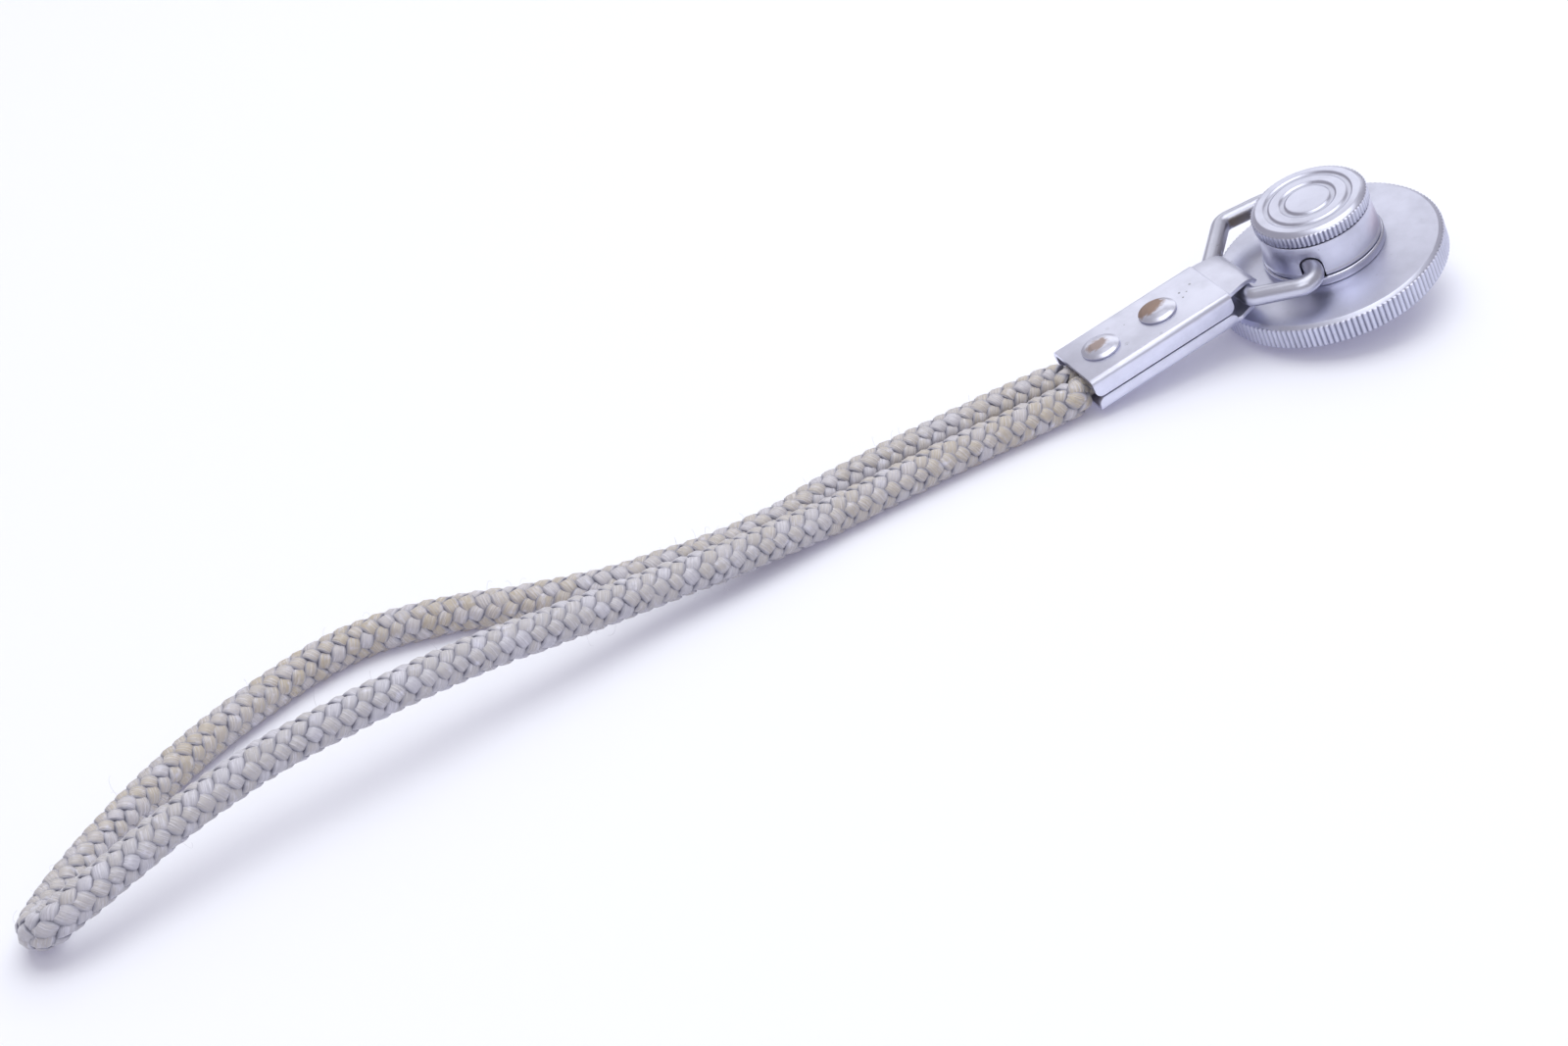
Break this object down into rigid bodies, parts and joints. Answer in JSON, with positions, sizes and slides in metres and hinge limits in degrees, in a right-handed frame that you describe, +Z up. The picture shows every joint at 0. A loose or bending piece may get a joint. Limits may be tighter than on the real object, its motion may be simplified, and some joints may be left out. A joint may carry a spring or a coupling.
{
  "type": "camera wrist strap",
  "caption": "Wrist loop of braided cord, clamped in a riveted metal ferrule and hung by a wire bail on the swivel collar of a tripod screw with a knurled thumb wheel.",
  "frame": {"origin": "floor level, under the middle of the box round the metal head (all pieces but the cord)", "axes": "+Z up from the floor, +X from the wrist loop towards the knob, +Y to the side of the ferrule that the picture shows farther away"},
  "size_m": [0.2329, 0.0504, 0.0208],
  "materials": {
    "braid": "braided cord in grey-beige yarn, fuzzy and stained with use",
    "ferrule_sheet": "nickel-plated sheet, satin with fine scratches",
    "rivet": "nickel-plated, worn through to brown at the middle",
    "bail_wire": "plated wire, dulled, brown tarnish in the bends",
    "knob_chrome": "satin chrome, fine knurl on the cap",
    "wheel_chrome": "satin chrome, straight knurl on the rim",
    "screw_steel": "plain turned screw"
  },
  "bodies": {
    "strap": {"cord_loop": "braid", "ferrule_upper": "ferrule_sheet", "ferrule_lower": "ferrule_sheet", "rivet_rear": "rivet", "rivet_front": "rivet"},
    "bail": {"bail": "bail_wire"},
    "collar": {"collar": "knob_chrome"},
    "knob": {"wheel": "wheel_chrome", "base_ring": "knob_chrome", "cap": "knob_chrome", "screw_stud": "screw_steel"}
  },
  "joints": [
    {"name": "bail_pivot", "type": "hinge", "parent": "strap", "child": "bail", "pos_m": [-0.00327, 0.00075, 0.00989], "axis": [0, -1, 0], "range_deg": [-10, 80]},
    {"name": "collar_pivot", "type": "hinge", "parent": "bail", "child": "collar", "pos_m": [0.00896, 0.00103, 0.01249], "axis": [-0.3104, -0.9483, -0.066], "range_deg": [-3, 100]},
    {"name": "knob_turn", "type": "hinge", "parent": "collar", "child": "knob", "pos_m": [0.01289, 0, 0.00888], "axis": [-0.2079, 0, 0.9781], "continuous": true}
  ]
}
